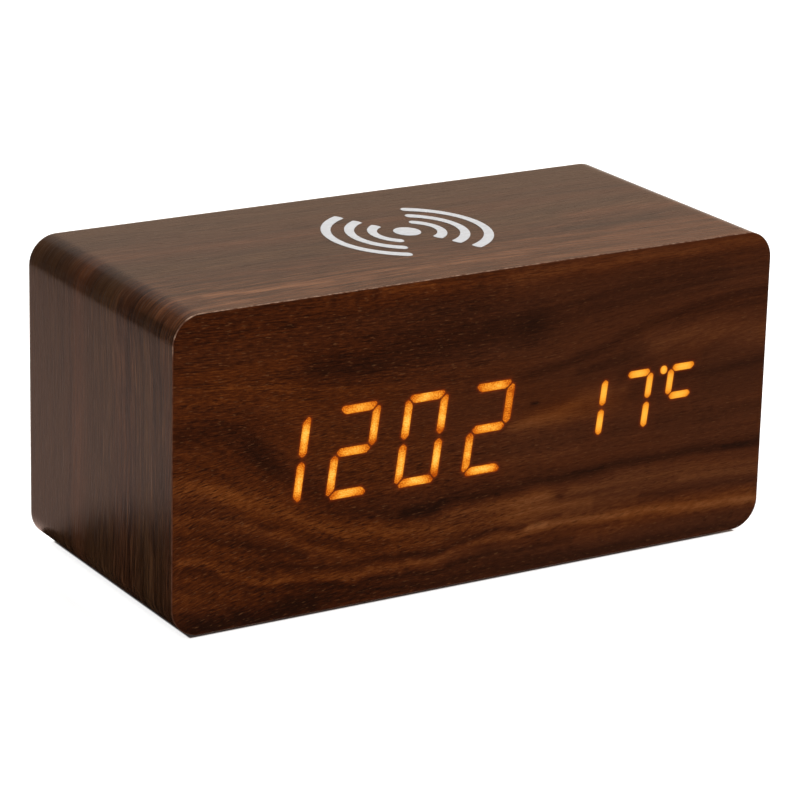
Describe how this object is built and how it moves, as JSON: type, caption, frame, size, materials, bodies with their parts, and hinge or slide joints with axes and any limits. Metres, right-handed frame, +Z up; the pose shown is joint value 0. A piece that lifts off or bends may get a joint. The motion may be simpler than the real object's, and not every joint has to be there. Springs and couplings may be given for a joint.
{
  "type": "wireless charging clock",
  "caption": "Wood-look desk clock with a lit digital display, a charging spot on its flat top, rear push buttons, a slide switch, a USB inlet and a hinged battery door.",
  "frame": {"origin": "on the table, under the middle of the case", "axes": "+X along the width, the display faces -Y, +Z up"},
  "size_m": [0.15, 0.0676, 0.071],
  "materials": {
    "wood_film": "satin dark walnut-look film",
    "fibreboard": "raw cut fibreboard",
    "black_plastic": "fine textured moulding",
    "white_plastic": "smooth satin white",
    "display_light": "opal sheet lit amber",
    "circuit_board": "green solder resist",
    "chip_black": "moulded epoxy",
    "plated_steel": "bright plated",
    "copper_wire": "enamelled winding",
    "ferrite": "dull dark grey",
    "foot_rubber": "matte",
    "cell_jacket": "plain printed jacket",
    "wire_red": "insulation",
    "wire_black": "insulation",
    "ribbon": "flat flexible cable"
  },
  "bodies": {
    "case": {"battery_cell_1": "cell_jacket", "battery_cell_2": "cell_jacket", "battery_cell_3": "cell_jacket", "battery_wire_black": "wire_black", "battery_wire_red": "wire_red", "bridge_contact_high": "plated_steel", "bridge_contact_low": "plated_steel", "buzzer": "chip_black", "case_sleeve": "fibreboard", "charger_board": "circuit_board", "charger_cable": "wire_black", "charger_chip": "chip_black", "charger_inductor": "ferrite", "charging_coil": "copper_wire", "clock_crystal": "plated_steel", "coil_lead_inner": "copper_wire", "coil_lead_outer": "copper_wire", "coil_thermistor": "chip_black", "coil_tray": "white_plastic", "controller_chip": "chip_black", "cover_screw_high_left": "plated_steel", "cover_screw_high_right": "plated_steel", "cover_screw_low_left": "plated_steel", "cover_screw_low_right": "plated_steel", "diffuser_sheet": "display_light", "display_board": "circuit_board", "display_mask": "white_plastic", "display_ribbon": "ribbon", "display_screw_left": "plated_steel", "display_screw_right": "plated_steel", "down_switch_body": "chip_black", "ferrite_plate": "ferrite", "filter_capacitor": "cell_jacket", "foot_back_left": "foot_rubber", "foot_back_right": "foot_rubber", "foot_front_left": "foot_rubber", "foot_front_right": "foot_rubber", "front_board": "fibreboard", "front_film": "wood_film", "main_board": "circuit_board", "microphone": "plated_steel", "negative_contact": "plated_steel", "positive_contact": "plated_steel", "rear_cover": "black_plastic", "resonance_capacitor": "wire_red", "set_switch_body": "chip_black", "sound_switch_body": "plated_steel", "temperature_sensor": "chip_black", "up_switch_body": "chip_black", "usb_shell": "plated_steel", "usb_tongue": "chip_black", "wrap_film": "wood_film"},
    "set_button": {"set_button": "black_plastic", "set_switch_plunger": "plated_steel"},
    "up_button": {"up_button": "black_plastic", "up_switch_plunger": "plated_steel"},
    "down_button": {"down_button": "black_plastic", "down_switch_plunger": "plated_steel"},
    "sound_switch_knob": {"sound_switch_knob": "black_plastic"},
    "battery_door": {"battery_door": "black_plastic"}
  },
  "joints": [
    {"name": "set_button_press", "type": "slide", "parent": "case", "child": "set_button", "axis": [0, -1, 0], "range_m": [0, 0.0005], "stiffness_N_per_m": 1500},
    {"name": "up_button_press", "type": "slide", "parent": "case", "child": "up_button", "axis": [0, -1, 0], "range_m": [0, 0.0005], "stiffness_N_per_m": 1500},
    {"name": "down_button_press", "type": "slide", "parent": "case", "child": "down_button", "axis": [0, -1, 0], "range_m": [0, 0.0005], "stiffness_N_per_m": 1500},
    {"name": "sound_switch_slide", "type": "slide", "parent": "case", "child": "sound_switch_knob", "axis": [1, 0, 0], "range_m": [0, 0.002]},
    {"name": "battery_door_hinge", "type": "hinge", "parent": "case", "child": "battery_door", "pos_m": [-0.035, 0.03085, 0.0132], "axis": [-1, 0, 0], "range_deg": [0, 95]}
  ]
}
